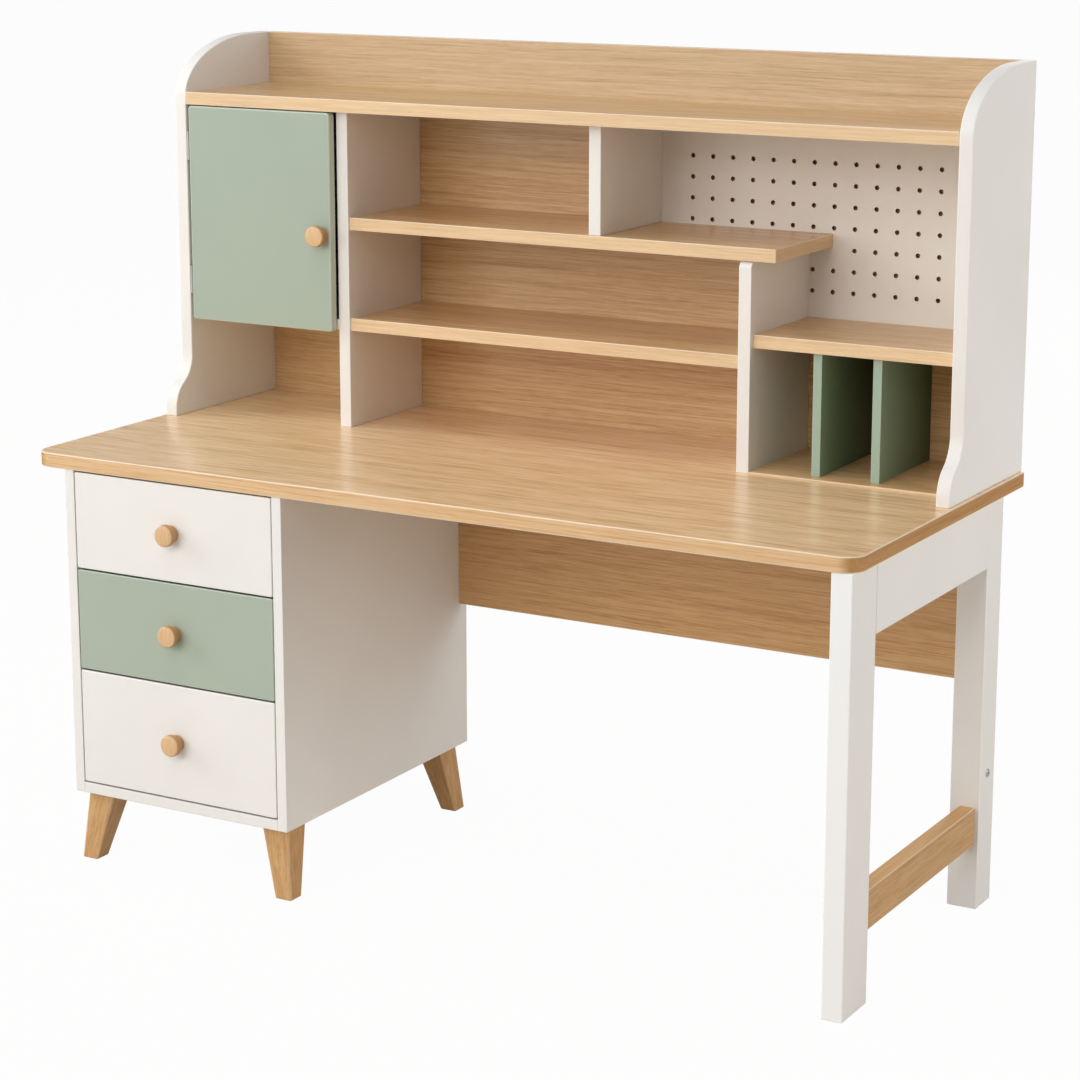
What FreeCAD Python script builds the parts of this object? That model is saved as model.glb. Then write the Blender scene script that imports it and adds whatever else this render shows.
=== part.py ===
"""Student desk with a drawer pedestal, an open leg frame, and a hutch with shelves, a cabinet and a pegboard.

Millimetres. +X runs along the desk to the sitter's right, +Y to the back, +Z up. The origin is on the floor,
at the middle of the box round the whole desk. Every board, foot, knob and fitting is a solid of its own.
"""
import FreeCAD, Part
import math
import os

# ---------------------------------------------------------------- driving dimensions
desk_width = 1500.0
desk_depth = 675.0
desk_height = 710.0
desktop_thickness = 25.0
desktop_front_corner = 32.0
desktop_back_corner = 8.0
desktop_edge_round = 3.0

carcass_board = 18.0
hutch_board = 22.0
edge_break = 1.0

pedestal_left_overhang = 63.0
pedestal_width = 437.0
pedestal_depth = 569.0
pedestal_setback = 3.0
pedestal_rail_width = 80.0
foot_height = 122.0

drawer_front_heights = {"upper": 164.0, "middle": 172.0, "lower": 197.0}
drawer_gap = 3.0
drawer_side_gap = 2.0
drawer_front_corner = 3.0
drawer_box_depth = 450.0
drawer_board = 12.0
drawer_floor_thickness = 5.0
drawer_groove_depth = 5.0
drawer_groove_rise = 10.0
drawer_box_below_front_top = 34.0
drawer_box_above_front_bottom = 14.0

slide_space = 12.7
slide_height = 45.0
slide_length = 450.0
slide_steel = 1.2
slide_ball_gap = 3.6
slide_fixed_flange = 9.5
slide_moving_flange = 9.2

knob_cap_radius = 18.7
knob_neck_radius = 13.0
knob_base_radius = 14.2
knob_length = 24.0
knob_neck_length = 10.5
knob_shoulder = 1.5
knob_crown_radius = 17.0
knob_crown_height = 1.4
knob_rim_cuts = 3
knob_crown_cuts = 2
knob_screw_radius = 2.0
knob_screw_clearance = 2.25
knob_screw_in_knob = 14.0
knob_screw_head_radius = 4.2
knob_screw_head_height = 2.4

leg_front_size = (34.0, 90.0)
leg_rear_size = (51.0, 62.0)
leg_end_overhang = 8.0
leg_front_setback = 3.0
leg_rear_front = 540.0
apron_thickness = 22.0
apron_height = 110.0
stretcher_thickness = 27.0
stretcher_height = 64.0
stretcher_rise = 110.0
stretcher_inset = 7.0

modesty_thickness = 15.0
modesty_height = 300.0
modesty_front = 545.0

hutch_height = 661.0
hutch_end_inset = 6.0
hutch_front = 410.0
hutch_back = 673.0
hutch_back_thickness = 9.0
hutch_top_shelf_top = 570.0
hutch_crown_depth = 200.0
hutch_crown_height = 101.0
hutch_toe_reach = 50.0
hutch_toe_height = 12.0
hutch_toe_start = 105.0

bay_setback = 24.0
shelf_board = 22.0
upper_divider_setback = 2.0
cabinet_divider_left = 331.0
upper_divider_left = 821.0
main_divider_left = 1096.0
main_divider_corner = 12.0
middle_shelf_right = 1160.0
middle_shelf_top = 367.0
lower_shelf_top = 192.0
rack_shelf_top = 226.0
rack_shelf_setback = 34.0
file_divider_lefts = {"left": 1220.0, "right": 1323.0}
file_divider_thickness = 15.0
file_divider_setback = 44.0
rack_base_thickness = 3.0

pegboard_thickness = 4.0
pegboard_standoff = 6.0
pegboard_batten_width = 16.0
peg_hole_radius = 4.0
peg_pitch_across = 37.2
peg_pitch_down = 35.4
peg_columns = 13
peg_row_starts = (0, 0, 0, 0, 8, 6, 6)
peg_first_from_end = 570.5
peg_first_below_shelf = 65.5

door_thickness = 18.0
door_hinge_gap = 5.0
door_latch_gap = 2.0
door_top_gap = 2.0
door_height = 377.0
door_corner = 6.0
door_edge_break = 1.5
door_closing_gap = 2.0
door_knob_from_latch_side = 19.0
door_knob_above_bottom = 167.0
cabinet_floor_rise = 2.0

hinge_height = 50.0
hinge_from_door_end = 70.0
hinge_leaf = 1.1
hinge_leaf_depth = 14.0
hinge_barrel_radius = 2.2
hinge_barrel_behind_front = 0.1
hinge_pin_radius = 1.0
hinge_pin_clearance = 0.05
hinge_knuckle_gap = 0.3
hinge_knuckle_share = 0.3

catch_size = (46.0, 15.0, 14.0)
catch_gap = 0.5
catch_from_divider = 20.0
strike_thickness = 1.2

foot_top_side = 54.0
foot_bottom_side = 32.0
foot_splay = 22.0
foot_edge_inset = 12.0
foot_end_inset = 20.0
foot_bevel_top = 2.5
foot_bevel_bottom = 1.5
foot_bolt_radius = 4.0
foot_bolt_in_foot = 40.0
foot_bolt_in_board = 14.0

leg_bolt_radius = 3.0
leg_bolt_length = 36.0
leg_bolt_head_radius = 7.0
leg_bolt_head_height = 2.0
leg_bolt_socket = 4.0
leg_bolt_rise = 226.0

# ---------------------------------------------------------------- places worked out from them
desk_left = -desk_width / 2
desk_right = desk_width / 2
knob_reach = knob_length - pedestal_setback
desk_front = knob_reach / 2 - desk_depth / 2
desk_back = desk_front + desk_depth
desk_underside = desk_height - desktop_thickness

pedestal_left = desk_left + pedestal_left_overhang
pedestal_right = pedestal_left + pedestal_width
pedestal_front = desk_front + pedestal_setback
pedestal_back = pedestal_front + pedestal_depth
pedestal_floor_top = foot_height + carcass_board
inner_left = pedestal_left + carcass_board
inner_right = pedestal_right - carcass_board

frame_outer = desk_right - leg_end_overhang
leg_front_y = desk_front + leg_front_setback
leg_rear_y = desk_front + leg_rear_front

side_left_x = desk_left + hutch_end_inset
side_right_x = desk_right - hutch_end_inset - hutch_board
hutch_inner_left = side_left_x + hutch_board
hutch_inner_right = side_right_x
hutch_front_y = desk_front + hutch_front
hutch_back_y = desk_front + hutch_back
back_panel_y = hutch_back_y - hutch_back_thickness
hutch_top = desk_height + hutch_height
top_shelf_z = desk_height + hutch_top_shelf_top
top_shelf_underside = top_shelf_z - shelf_board
bay_front_y = hutch_front_y + bay_setback

cabinet_divider_x = desk_left + cabinet_divider_left
upper_divider_x = desk_left + upper_divider_left
main_divider_x = desk_left + main_divider_left
rack_left = main_divider_x + hutch_board
middle_shelf_z = desk_height + middle_shelf_top
middle_shelf_underside = middle_shelf_z - shelf_board
rack_shelf_z = desk_height + rack_shelf_top
rack_shelf_underside = rack_shelf_z - shelf_board

door_left = hutch_inner_left + door_hinge_gap
door_right = cabinet_divider_x - door_latch_gap
door_top = top_shelf_underside - door_top_gap
door_bottom = door_top - door_height
door_back_y = hutch_front_y + door_thickness
cabinet_front_y = door_back_y + door_closing_gap
hinge_axis_x = hutch_inner_left + door_hinge_gap / 2
hinge_axis_y = hutch_front_y + hinge_barrel_radius + hinge_barrel_behind_front
hinge_centres = (door_bottom + hinge_from_door_end, door_top - hinge_from_door_end)


# ---------------------------------------------------------------- shared operations
def vec(x, y, z):
    return FreeCAD.Vector(x, y, z)


def block(x0, x1, y0, y1, z0, z1):
    """Plain rectangular solid between two corners."""
    return Part.makeBox(x1 - x0, y1 - y0, z1 - z0, vec(x0, y0, z0))


def board(x0, x1, y0, y1, z0, z1):
    """Rectangular board with every edge broken by a small chamfer."""
    solid = block(x0, x1, y0, y1, z0, z1)
    return solid.makeChamfer(edge_break, solid.Edges)


def rod_y(x, z, y0, y1, radius):
    """Round rod along Y."""
    return Part.makeCylinder(radius, y1 - y0, vec(x, y0, z), vec(0, 1, 0))


def save(node, *solids):
    """Write one node: a single solid, or a group of separate solids."""
    shape = solids[0] if len(solids) == 1 else Part.makeCompound(list(solids))
    shape.exportStep("parts/" + node + ".step")


def level_edges(solid, z):
    """Edges that lie wholly at height z."""
    return [e for e in solid.Edges if abs(e.BoundBox.ZMin - z) < 0.01 and abs(e.BoundBox.ZMax - z) < 0.01]


# ---------------------------------------------------------------- desktop
def desktop():
    """One veneered top: large front corners, small back corners, both faces rounded over."""
    top = block(desk_left, desk_right, desk_front, desk_back, desk_underside, desk_height)
    uprights = [e for e in top.Edges if e.BoundBox.ZLength > 1]
    front_pair = [e for e in uprights if e.BoundBox.YMin < 0]
    top = top.makeFillet(desktop_front_corner, front_pair)
    back_pair = [e for e in top.Edges if e.BoundBox.ZLength > 1 and e.BoundBox.YMin > desk_back - 1]
    top = top.makeFillet(desktop_back_corner, back_pair)
    rims = level_edges(top, desk_height) + level_edges(top, desk_underside)
    return top.makeFillet(desktop_edge_round, rims)


# ---------------------------------------------------------------- drawer pedestal
def pedestal():
    """Two sides that run down past the bottom board, a back, and two rails that carry the desktop."""
    save("pedestal_side_left",
         board(pedestal_left, inner_left, pedestal_front, pedestal_back, foot_height, desk_underside))
    save("pedestal_side_right",
         board(inner_right, pedestal_right, pedestal_front, pedestal_back, foot_height, desk_underside))
    bottom = board(inner_left, inner_right, pedestal_front, pedestal_back, foot_height, pedestal_floor_top)
    for x, y in foot_centres().values():
        bottom = bottom.cut(foot_bolt(x, y))
    save("pedestal_bottom", bottom)
    save("pedestal_back",
         board(inner_left, inner_right, pedestal_back - drawer_board, pedestal_back,
               pedestal_floor_top, desk_underside))
    front_rail_y = pedestal_front + carcass_board + drawer_gap
    back_rail_y = pedestal_back - drawer_board - pedestal_rail_width
    rails = [board(inner_left, inner_right, y, y + pedestal_rail_width,
                   desk_underside - carcass_board, desk_underside)
             for y in (front_rail_y, back_rail_y)]
    save("pedestal_top_rails", *rails)


def foot_centres():
    """Plan centres of the four feet where they meet the pedestal's underside."""
    across = foot_edge_inset + foot_top_side / 2
    along = foot_end_inset + foot_top_side / 2
    return {
        "front_left": (pedestal_left + across, pedestal_front + along),
        "front_right": (pedestal_right - across, pedestal_front + along),
        "rear_left": (pedestal_left + across, pedestal_back - along),
        "rear_right": (pedestal_right - across, pedestal_back - along),
    }


def bevelled_square(x, y, z, side, bevel):
    """Closed outline of a square with bevelled corners, level at height z."""
    half = side / 2
    inner = half - bevel
    corners = [(half, -inner), (half, inner), (inner, half), (-inner, half),
               (-half, inner), (-half, -inner), (-inner, -half), (inner, -half)]
    return Part.makePolygon([vec(x + dx, y + dy, z) for dx, dy in corners + corners[:1]])


def foot(x, y):
    """Square turned-out foot: tapers downwards and leans away from the pedestal's middle both ways."""
    lean_x = math.copysign(foot_splay, x - (pedestal_left + pedestal_right) / 2)
    lean_y = math.copysign(foot_splay, y - (pedestal_front + pedestal_back) / 2)
    upper = bevelled_square(x, y, foot_height, foot_top_side, foot_bevel_top)
    lower = bevelled_square(x + lean_x, y + lean_y, 0, foot_bottom_side, foot_bevel_bottom)
    return Part.makeLoft([lower, upper], True, True).cut(foot_bolt(x, y))


def foot_bolt(x, y):
    """Hanger bolt, half in the foot and half in the bottom board."""
    length = foot_bolt_in_foot + foot_bolt_in_board
    return Part.makeCylinder(foot_bolt_radius, length, vec(x, y, foot_height - foot_bolt_in_foot))


# ---------------------------------------------------------------- drawers
def knob(x, y, z):
    """Turned wooden knob whose face is towards the sitter, and the screw that holds it from behind.

    The profile is drawn as radius against distance from the drawer front, then revolved. The rim and the
    crown are arcs, each turned as a few straight cuts along its chords.
    """
    def at(radius, out):
        return vec(x + radius, y - out, z)

    # the crown is a shallow cap of a sphere centred on the knob's axis
    crown_start = knob_length - knob_crown_height
    sphere = (knob_crown_radius ** 2 + knob_crown_height ** 2) / (2 * knob_crown_height)
    half = knob_crown_radius / 2
    crown_middle = knob_length - sphere + math.sqrt(sphere ** 2 - half ** 2)
    rim_back = knob_neck_length + knob_shoulder
    rim_inner = knob_cap_radius - knob_shoulder
    rim = Part.Arc(at(rim_inner, rim_back), at(knob_cap_radius, (rim_back + crown_start) / 2),
                   at(knob_crown_radius, crown_start))
    crown = Part.Arc(at(knob_crown_radius, crown_start), at(half, crown_middle), at(0, knob_length))
    profile = [at(0, 0), at(knob_base_radius, 0), at(knob_neck_radius, knob_neck_length)]
    profile += rim.discretize(knob_rim_cuts + 1)
    profile += crown.discretize(knob_crown_cuts + 1)[1:]
    turned = Part.Face(Part.makePolygon(profile + profile[:1])).revolve(vec(x, y, z), vec(0, 1, 0), 360)
    turned = turned.cut(rod_y(x, z, y - knob_screw_in_knob, y, knob_screw_radius))
    back = y + carcass_board
    shank = rod_y(x, z, y - knob_screw_in_knob, back, knob_screw_radius)
    head = rod_y(x, z, back, back + knob_screw_head_height, knob_screw_head_radius)
    return turned, shank.fuse(head).removeSplitter()


def channel(web_x, open_towards, z, half_height, depth, y0, y1):
    """Folded steel channel along Y: a web with two flanges that point towards open_towards (+1 or -1)."""
    inner = web_x + open_towards * slide_steel
    tip = web_x + open_towards * depth
    top = z + half_height
    low = z - half_height
    points = [(web_x, low), (tip, low), (tip, low + slide_steel), (inner, low + slide_steel),
              (inner, top - slide_steel), (tip, top - slide_steel), (tip, top), (web_x, top)]
    outline = Part.makePolygon([vec(px, y0, pz) for px, pz in points + points[:1]])
    return Part.Face(outline).extrude(vec(0, y1 - y0, 0))


def slide_pair(z, y0):
    """Left and right telescopic slides at height z: the fixed channels and the channels on the drawer."""
    moving_half = slide_height / 2 - slide_steel - slide_ball_gap
    fixed = []
    moving = []
    for wall, inwards in ((inner_left, 1), (inner_right, -1)):
        fixed.append(channel(wall, inwards, z, slide_height / 2, slide_fixed_flange, y0, y0 + slide_length))
        drawer_side = wall + inwards * slide_space
        moving.append(channel(drawer_side, -inwards, z, moving_half, slide_moving_flange,
                              y0, y0 + slide_length))
    return fixed, moving


def slab_front(x0, x1, y0, y1, z0, z1, corner, rim):
    """Slab front towards the sitter: rounded corners, and both faces' rims broken by a chamfer."""
    slab = block(x0, x1, y0, y1, z0, z1)
    slab = slab.makeFillet(corner, [e for e in slab.Edges if e.BoundBox.YLength > 1])
    return slab.makeChamfer(rim, [e for e in slab.Edges if e.BoundBox.YLength < 0.01])


def drawer(name, front_bottom, front_height):
    """One drawer: front, box of four boards with a grooved-in floor, knob and the moving slide channels.

    Returns the fixed channels that carry it.
    """
    front_top = front_bottom + front_height
    front_back = pedestal_front + carcass_board
    box_bottom = front_bottom + drawer_box_above_front_bottom
    box_top = front_top - drawer_box_below_front_top
    box_left = inner_left + slide_space
    box_right = inner_right - slide_space
    box_back = front_back + drawer_box_depth
    floor_z = box_bottom + drawer_groove_rise
    knob_x = (pedestal_left + pedestal_right) / 2
    knob_z = front_bottom + front_height / 2

    in_side = drawer_board - drawer_groove_depth
    groove = block(box_left + in_side, box_right - in_side, front_back - drawer_groove_depth, box_back,
                   floor_z, floor_z + drawer_floor_thickness)
    front = slab_front(inner_left + drawer_side_gap, inner_right - drawer_side_gap,
                       pedestal_front, front_back, front_bottom, front_top, drawer_front_corner, edge_break)
    front = front.cut(groove)
    front = front.cut(rod_y(knob_x, knob_z, pedestal_front, front_back, knob_screw_clearance))
    save(name + "_drawer_front", front)

    side_left = board(box_left, box_left + drawer_board, front_back, box_back, box_bottom, box_top)
    side_right = board(box_right - drawer_board, box_right, front_back, box_back, box_bottom, box_top)
    save(name + "_drawer_side_left", side_left.cut(groove))
    save(name + "_drawer_side_right", side_right.cut(groove))
    save(name + "_drawer_floor", groove)
    save(name + "_drawer_back",
         board(box_left + drawer_board, box_right - drawer_board, box_back - drawer_board, box_back,
               floor_z + drawer_floor_thickness, box_top))
    save(name + "_drawer_knob", *knob(knob_x, pedestal_front, knob_z))

    fixed, moving = slide_pair((box_bottom + box_top) / 2, front_back)
    save(name + "_drawer_slides", *moving)
    return fixed


def drawers():
    """Three drawers, stacked from the desktop down, with an even gap round every front."""
    fixed_channels = []
    top = desk_underside
    for name, height in drawer_front_heights.items():
        bottom = top - drawer_gap - height
        fixed_channels += drawer(name, bottom, height)
        top = bottom
    save("slide_channels", *fixed_channels)


# ---------------------------------------------------------------- leg frame and modesty panel
def leg_frame():
    """Right-hand frame: a flat front leg, a squarer rear leg, an apron flush outside and a low stretcher."""
    front_width, front_depth = leg_front_size
    rear_width, rear_depth = leg_rear_size
    front_back = leg_front_y + front_depth
    rear_back = leg_rear_y + rear_depth
    save("leg_front",
         board(frame_outer - front_width, frame_outer, leg_front_y, front_back, 0, desk_underside))
    bolt, head = leg_bolt(leg_rear_y + rear_depth / 2)
    rear = board(frame_outer - rear_width, frame_outer, leg_rear_y, rear_back, 0, desk_underside)
    save("leg_rear", rear.cut(bolt))
    save("leg_apron",
         board(frame_outer - apron_thickness, frame_outer, front_back, leg_rear_y,
               desk_underside - apron_height, desk_underside))
    stretcher_right = frame_outer - stretcher_inset
    save("leg_stretcher",
         board(stretcher_right - stretcher_thickness, stretcher_right, front_back, leg_rear_y,
               stretcher_rise, stretcher_rise + stretcher_height))
    modesty_y = desk_front + modesty_front
    save("modesty_panel",
         board(pedestal_right, frame_outer - rear_width, modesty_y, modesty_y + modesty_thickness,
               desk_underside - modesty_height, desk_underside))
    foot_bolts = [foot_bolt(x, y) for x, y in foot_centres().values()]
    save("frame_bolts", bolt.fuse(head).removeSplitter(), *foot_bolts)


def leg_bolt(y):
    """Connector bolt in the rear leg: shank, and a low round head with a hexagon socket."""
    inner_end = frame_outer - leg_bolt_length
    shank = Part.makeCylinder(leg_bolt_radius, leg_bolt_length,
                              vec(inner_end, y, leg_bolt_rise), vec(1, 0, 0))
    head = Part.makeCylinder(leg_bolt_head_radius, leg_bolt_head_height,
                             vec(frame_outer, y, leg_bolt_rise), vec(1, 0, 0))
    outer = [e for e in head.Edges if e.BoundBox.XMin > frame_outer + leg_bolt_head_height - 0.01]
    head = head.makeChamfer(leg_bolt_head_height / 2, outer)
    corners = [vec(frame_outer + leg_bolt_head_height / 4,
                   y + leg_bolt_socket / 2 * math.cos(math.radians(60 * k)),
                   leg_bolt_rise + leg_bolt_socket / 2 * math.sin(math.radians(60 * k))) for k in range(7)]
    socket = Part.Face(Part.makePolygon(corners)).extrude(vec(leg_bolt_head_height, 0, 0))
    return shank, head.cut(socket)


# ---------------------------------------------------------------- hutch
def hutch_side(x):
    """End panel: an elliptical crown at the top front, and an S-curved toe that reaches forward below."""
    front = hutch_front_y
    toe = front - hutch_toe_reach
    toe_top = desk_height + hutch_toe_height
    curve_top = desk_height + hutch_toe_start
    crown_z = hutch_top - hutch_crown_height
    crown_y = front + hutch_crown_depth
    curve_height = curve_top - toe_top
    # two equal arcs, tangent to the upright edge, to each other and to the upright toe
    turn = 2 * math.atan2(hutch_toe_reach, curve_height)
    radius = curve_height / (2 * math.sin(turn))
    middle = vec(x, (front + toe) / 2, (curve_top + toe_top) / 2)
    sag = radius * (1 - math.cos(turn / 2))
    drop = radius * math.sin(turn / 2)
    hollow = Part.Arc(middle, vec(x, front - sag, curve_top - drop), vec(x, front, curve_top))
    swell = Part.Arc(vec(x, toe, toe_top), vec(x, toe + sag, toe_top + drop), middle)
    oval = Part.Ellipse(vec(x, crown_y + hutch_crown_depth, crown_z), vec(x, crown_y, hutch_top),
                        vec(x, crown_y, crown_z))
    crown = Part.Arc(oval, math.pi / 2, math.pi)
    edges = [
        swell.toShape(),
        hollow.toShape(),
        Part.makeLine(vec(x, front, curve_top), vec(x, front, crown_z)),
        crown.toShape(),
        Part.makeLine(vec(x, crown_y, hutch_top), vec(x, hutch_back_y, hutch_top)),
        Part.makeLine(vec(x, hutch_back_y, hutch_top), vec(x, hutch_back_y, desk_height)),
        Part.makeLine(vec(x, hutch_back_y, desk_height), vec(x, toe, desk_height)),
        Part.makeLine(vec(x, toe, desk_height), vec(x, toe, toe_top)),
    ]
    outline = Part.Wire(Part.__sortEdges__(edges))
    side = Part.Face(outline).extrude(vec(hutch_board, 0, 0))
    rims = [e for e in side.Edges if e.BoundBox.XLength < 0.01]
    return side.makeChamfer(edge_break, rims)


def hutch_shell():
    """End panels, one-piece back panel and top shelf."""
    save("hutch_side_left", hutch_side(side_left_x))
    save("hutch_side_right", hutch_side(side_right_x))
    save("hutch_back_panel",
         board(hutch_inner_left, hutch_inner_right, back_panel_y, hutch_back_y, desk_height, hutch_top))
    save("hutch_top_shelf",
         board(hutch_inner_left, hutch_inner_right, hutch_front_y, back_panel_y,
               top_shelf_underside, top_shelf_z))


def hutch_inside():
    """Dividers and shelves between the end panels, all butted to the back panel."""
    cabinet_divider_right = cabinet_divider_x + hutch_board
    save("cabinet_divider",
         board(cabinet_divider_x, cabinet_divider_right, cabinet_front_y, back_panel_y,
               desk_height, top_shelf_underside))
    cabinet_floor_z = door_bottom + cabinet_floor_rise
    save("cabinet_floor",
         board(hutch_inner_left, cabinet_divider_x, cabinet_front_y, back_panel_y,
               cabinet_floor_z, cabinet_floor_z + carcass_board))
    save("middle_shelf",
         board(cabinet_divider_right, desk_left + middle_shelf_right, bay_front_y, back_panel_y,
               middle_shelf_underside, middle_shelf_z))
    save("upper_divider",
         board(upper_divider_x, upper_divider_x + hutch_board, bay_front_y + upper_divider_setback,
               back_panel_y, middle_shelf_z, top_shelf_underside))
    lower_shelf_z = desk_height + lower_shelf_top
    save("lower_shelf",
         board(cabinet_divider_right, main_divider_x, bay_front_y, back_panel_y,
               lower_shelf_z - shelf_board, lower_shelf_z))
    main = block(main_divider_x, rack_left, bay_front_y, back_panel_y, desk_height, middle_shelf_underside)
    top_front = [e for e in level_edges(main, middle_shelf_underside) if e.BoundBox.YMax < bay_front_y + 1]
    main = main.makeFillet(main_divider_corner, top_front)
    rims = [e for e in main.Edges if e.BoundBox.XLength < 0.01]
    save("main_divider", main.makeChamfer(edge_break, rims))


def file_rack():
    """Rack under its own shelf: a thin base and two coloured dividers."""
    save("rack_shelf",
         board(rack_left, hutch_inner_right, hutch_front_y + rack_shelf_setback, back_panel_y,
               rack_shelf_underside, rack_shelf_z))
    base_top = desk_height + rack_base_thickness
    save("rack_base",
         block(rack_left, hutch_inner_right, bay_front_y, back_panel_y, desk_height, base_top))
    for name, left in file_divider_lefts.items():
        x = desk_left + left
        save("file_divider_" + name,
             board(x, x + file_divider_thickness, hutch_front_y + file_divider_setback, back_panel_y,
                   base_top, rack_shelf_underside))


# ---------------------------------------------------------------- pegboard
def peg_holes(front_y, back_y):
    """Through holes on a grid: full rows above the middle shelf, and short rows beside and below its end."""
    first_x = hutch_inner_right - peg_first_from_end
    first_z = top_shelf_underside - peg_first_below_shelf
    holes = []
    for row, first_column in enumerate(peg_row_starts):
        z = first_z - row * peg_pitch_down
        for column in range(first_column, peg_columns):
            holes.append(rod_y(first_x + column * peg_pitch_across, z, front_y, back_y, peg_hole_radius))
    return Part.makeCompound(holes)


def pegboard():
    """L-shaped hardboard panel with a grid of holes, held off the back panel by narrow battens."""
    back_y = back_panel_y - pegboard_standoff
    front_y = back_y - pegboard_thickness
    left = upper_divider_x + hutch_board
    right = hutch_inner_right
    outline = [(left, middle_shelf_z), (left, top_shelf_underside), (right, top_shelf_underside),
               (right, rack_shelf_z), (rack_left, rack_shelf_z), (rack_left, middle_shelf_underside)]
    notch_right = desk_left + middle_shelf_right
    outline += [(notch_right, middle_shelf_underside), (notch_right, middle_shelf_z)]
    wire = Part.makePolygon([vec(px, front_y, pz) for px, pz in outline + outline[:1]])
    panel = Part.Face(wire).extrude(vec(0, pegboard_thickness, 0))
    save("pegboard", panel.cut(peg_holes(front_y, back_y)))

    width = pegboard_batten_width
    battens = [
        block(left, right, back_y, back_panel_y, top_shelf_underside - width, top_shelf_underside),
        block(left, left + width, back_y, back_panel_y, middle_shelf_z, top_shelf_underside - width),
        block(right - width, right, back_y, back_panel_y, rack_shelf_z, top_shelf_underside - width),
        block(rack_left, rack_left + width, back_y, back_panel_y, rack_shelf_z, middle_shelf_underside),
        block(rack_left + width, right - width, back_y, back_panel_y, rack_shelf_z, rack_shelf_z + width),
    ]
    save("pegboard_battens", *battens)


# ---------------------------------------------------------------- cabinet door, hinges and catch
def door():
    """Slab door with softened corners, its knob, and a steel strike plate on the back."""
    slab = slab_front(door_left, door_right, hutch_front_y, door_back_y, door_bottom, door_top,
                      door_corner, door_edge_break)
    knob_x = door_right - door_knob_from_latch_side
    knob_z = door_bottom + door_knob_above_bottom
    slab = slab.cut(rod_y(knob_x, knob_z, hutch_front_y, door_back_y, knob_screw_clearance))
    save("door_panel", slab)
    save("door_knob", *knob(knob_x, hutch_front_y, knob_z))

    length, depth, height = catch_size
    catch_right = cabinet_divider_x - catch_from_divider
    catch_front = door_back_y + strike_thickness + catch_gap
    save("door_strike_plate",
         block(catch_right - length, catch_right, door_back_y, door_back_y + strike_thickness,
               top_shelf_underside - height, top_shelf_underside - door_top_gap - door_edge_break))
    save("door_catch",
         board(catch_right - length, catch_right, catch_front, catch_front + depth,
               top_shelf_underside - height, top_shelf_underside))


def barrel(z0, z1, bore):
    """Knuckle of a butt hinge: a short tube on the hinge axis."""
    base = vec(hinge_axis_x, hinge_axis_y, z0)
    return Part.makeCylinder(hinge_barrel_radius, z1 - z0, base).cut(Part.makeCylinder(bore, z1 - z0, base))


def leaf(side, z0, z1, knuckles, bore):
    """Hinge leaf folded from one strip: a wing with knuckles. side is -1 on the cabinet, +1 on the door."""
    face_x = hinge_axis_x + side * door_hinge_gap / 2
    inner_x = face_x - side * hinge_leaf
    x0, x1 = min(face_x, inner_x), max(face_x, inner_x)
    wing_front = hinge_axis_y + hinge_barrel_radius + hinge_knuckle_gap
    wing = block(x0, x1, wing_front, hinge_axis_y + hinge_leaf_depth, z0, z1)
    hollow = Part.makeCylinder(bore, z1 - z0, vec(hinge_axis_x, hinge_axis_y, z0))
    for low, high in knuckles:
        strap = block(x0, x1, hinge_axis_y, wing_front, low, high)
        wing = wing.fuse([strap, barrel(low, high, bore)])
    return wing.cut(hollow).removeSplitter()


def hinges():
    """Two butt hinges in the gap beside the door: two cabinet knuckles, one door knuckle and a pin each."""
    fixed = []
    moving = []
    for centre in hinge_centres:
        low = centre - hinge_height / 2
        high = centre + hinge_height / 2
        end_length = hinge_height * hinge_knuckle_share
        outer = [(low, low + end_length), (high - end_length, high)]
        inner = [(low + end_length + hinge_knuckle_gap, high - end_length - hinge_knuckle_gap)]
        fixed.append(leaf(-1, low, high, outer, hinge_pin_radius))
        moving.append(leaf(1, low, high, inner, hinge_pin_radius + hinge_pin_clearance))
        fixed.append(Part.makeCylinder(hinge_pin_radius, hinge_height, vec(hinge_axis_x, hinge_axis_y, low)))
    save("hinge_leaves_cabinet", *fixed)
    save("hinge_leaves_door", *moving)


# ---------------------------------------------------------------- the whole desk
os.makedirs("parts", exist_ok=True)
save("desktop", desktop())
pedestal()
for foot_name, (foot_x, foot_y) in foot_centres().items():
    save("foot_" + foot_name, foot(foot_x, foot_y))
drawers()
leg_frame()
hutch_shell()
hutch_inside()
file_rack()
pegboard()
door()
hinges()
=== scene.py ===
import math

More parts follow.
